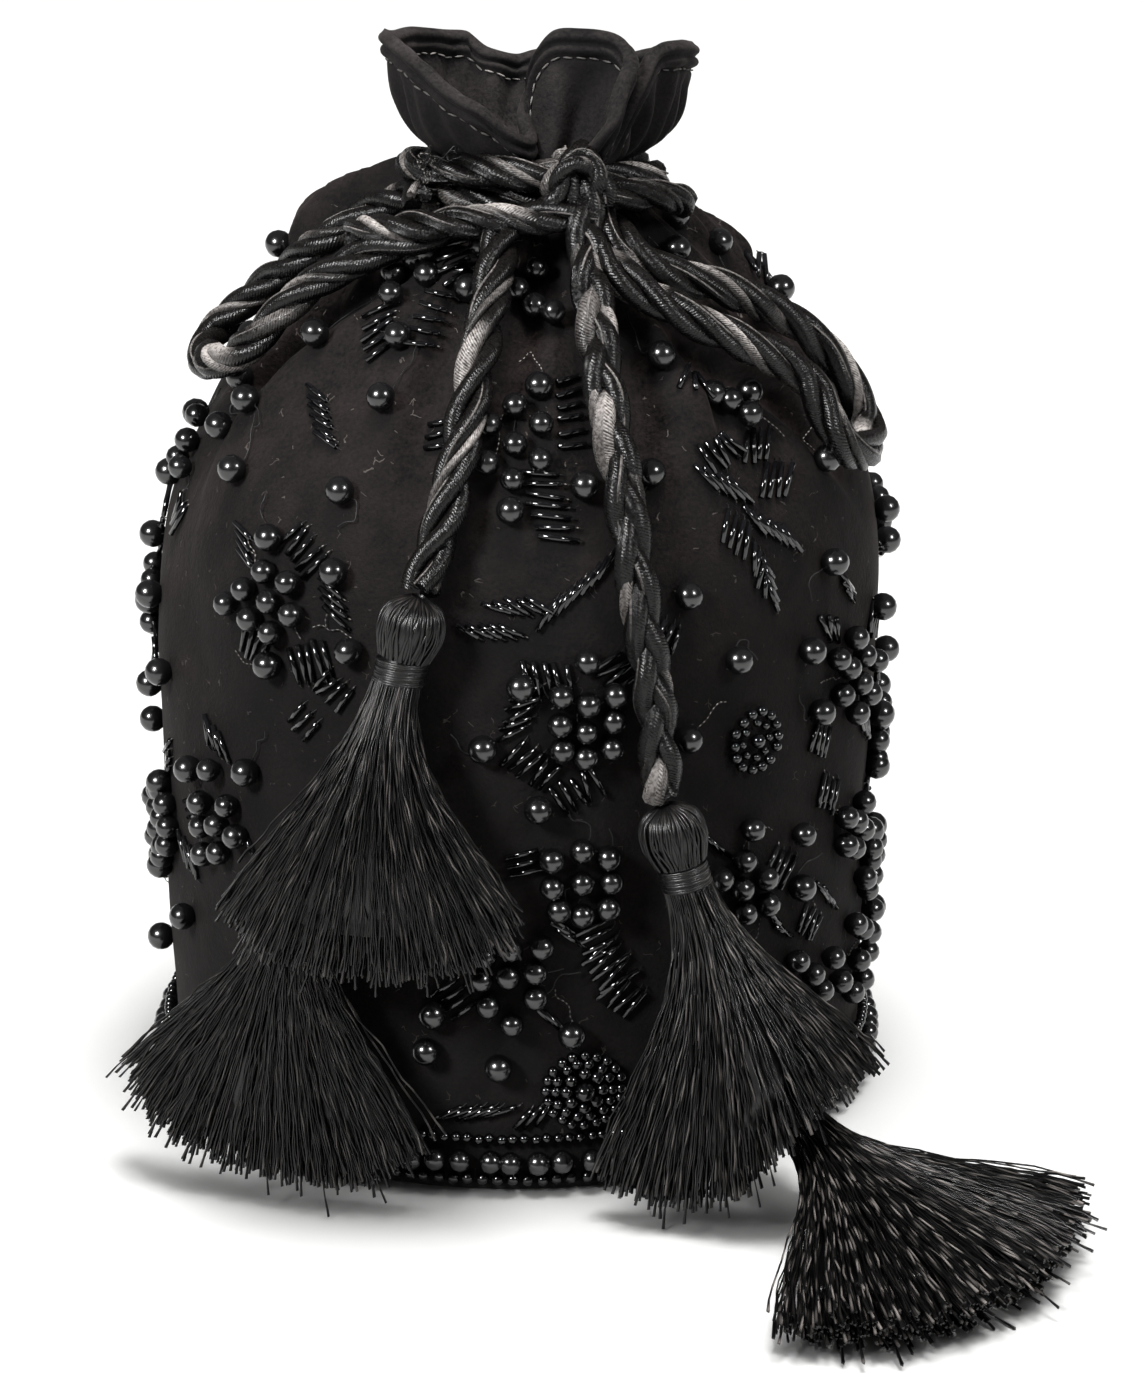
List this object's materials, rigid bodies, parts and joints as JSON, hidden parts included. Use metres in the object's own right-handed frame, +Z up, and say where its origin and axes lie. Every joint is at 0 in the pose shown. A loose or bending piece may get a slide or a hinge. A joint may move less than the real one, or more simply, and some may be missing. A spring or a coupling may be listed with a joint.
{
  "type": "potli bag",
  "caption": "Drawstring potli pouch of black cloth on a round base, with sewn pearls, an open frill, plaited cords with carry loops, and thread tassels.",
  "frame": {"origin": "middle of the flat underside of the base panel, on the surface the bag stands on", "axes": "+Z up towards the mouth, front with the two cord ends towards -Y, +X to the right seen from the front"},
  "size_m": [0.199, 0.2352, 0.2303],
  "materials": {
    "base_cloth": "matte black cotton over a stiff board",
    "body_cloth": "matte black brushed cotton with a fine nap",
    "frill_cloth": "plain matte black cotton with a rolled, stitched hem",
    "pearl_beads": "gunmetal black lustre pearls",
    "seed_beads": "glossy black seed and bugle beads",
    "gimp_cord": "plait of black satin gimp with silver-grey strands",
    "tassel_thread": "black rayon thread with a soft sheen"
  },
  "bodies": {
    "root": {"base_panel": "base_cloth", "bag_body": "body_cloth", "mouth_frill": "frill_cloth", "base_beads_bottom": "seed_beads", "base_beads_middle": "pearl_beads", "base_beads_top": "seed_beads", "rosette_upper": "seed_beads", "rosette_lower": "seed_beads", "neck_cord": "gimp_cord", "carry_loop_left": "gimp_cord", "carry_loop_right": "gimp_cord", "front_cord_left": "gimp_cord", "front_cord_right": "gimp_cord", "link_cord_left": "gimp_cord", "link_cord_right": "gimp_cord", "tassel_upper_left_head": "tassel_thread", "tassel_upper_left_binding": "tassel_thread", "tassel_upper_left_skirt": "tassel_thread", "tassel_lower_left_head": "tassel_thread", "tassel_lower_left_binding": "tassel_thread", "tassel_lower_left_skirt": "tassel_thread", "tassel_upper_right_head": "tassel_thread", "tassel_upper_right_binding": "tassel_thread", "tassel_upper_right_skirt": "tassel_thread", "tassel_lower_right_head": "tassel_thread", "tassel_lower_right_binding": "tassel_thread", "tassel_lower_right_skirt": "tassel_thread"}
  },
  "joints": []
}
